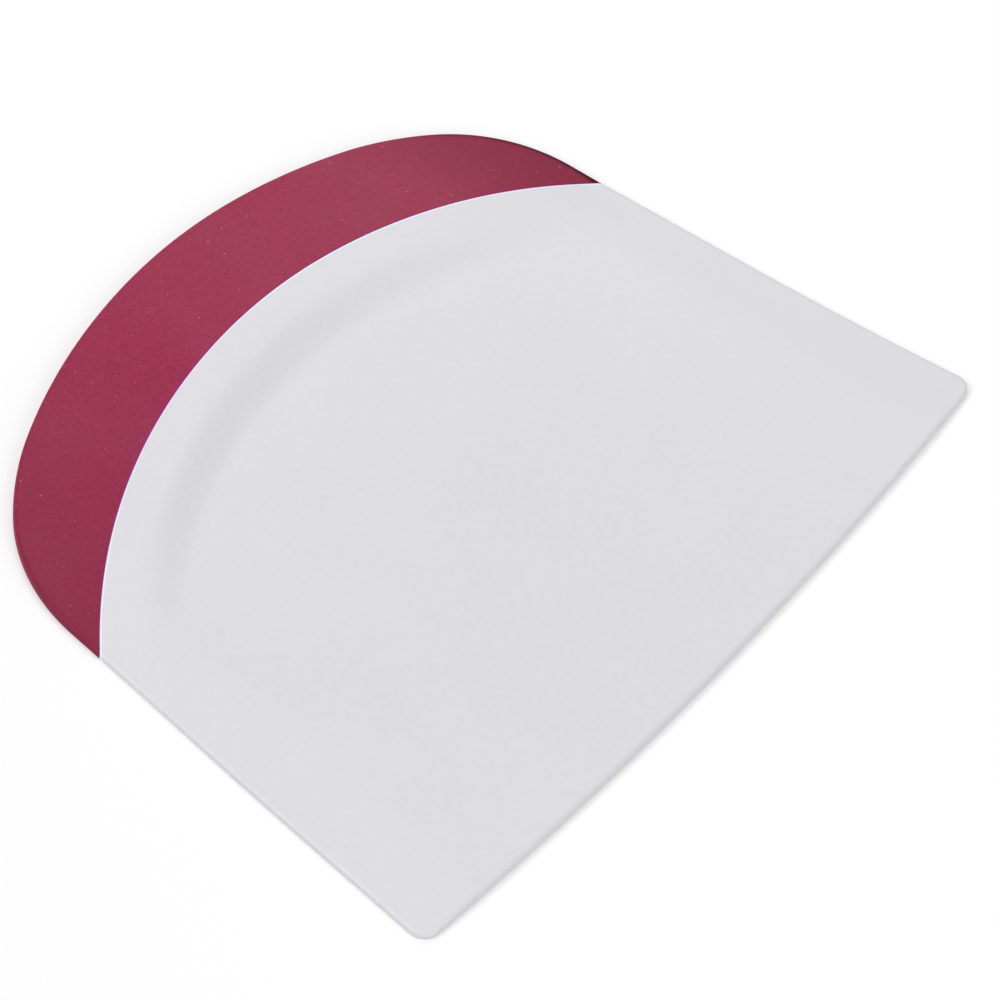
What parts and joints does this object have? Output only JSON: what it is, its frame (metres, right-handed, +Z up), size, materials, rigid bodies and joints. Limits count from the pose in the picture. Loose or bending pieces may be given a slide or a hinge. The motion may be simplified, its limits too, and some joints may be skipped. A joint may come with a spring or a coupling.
{
  "type": "bowl scraper",
  "caption": "D-shaped flat scraper: a stiff plate with a nearly straight edge and leaning sides, and a soft lip moulded along its curved edge.",
  "frame": {"origin": "on the underside, in the middle of the outline's box", "axes": "+X along the straight edge, +Y from the straight edge to the curved lip, +Z up out of the upper face"},
  "size_m": [0.1494, 0.1164, 0.0033],
  "materials": {
    "body_plastic": "satin moulded plastic, white with a faint lilac cast",
    "lip_rubber": "satin burgundy elastomer"
  },
  "bodies": {
    "root": {"blade_body": "body_plastic", "soft_lip": "lip_rubber"}
  },
  "joints": []
}
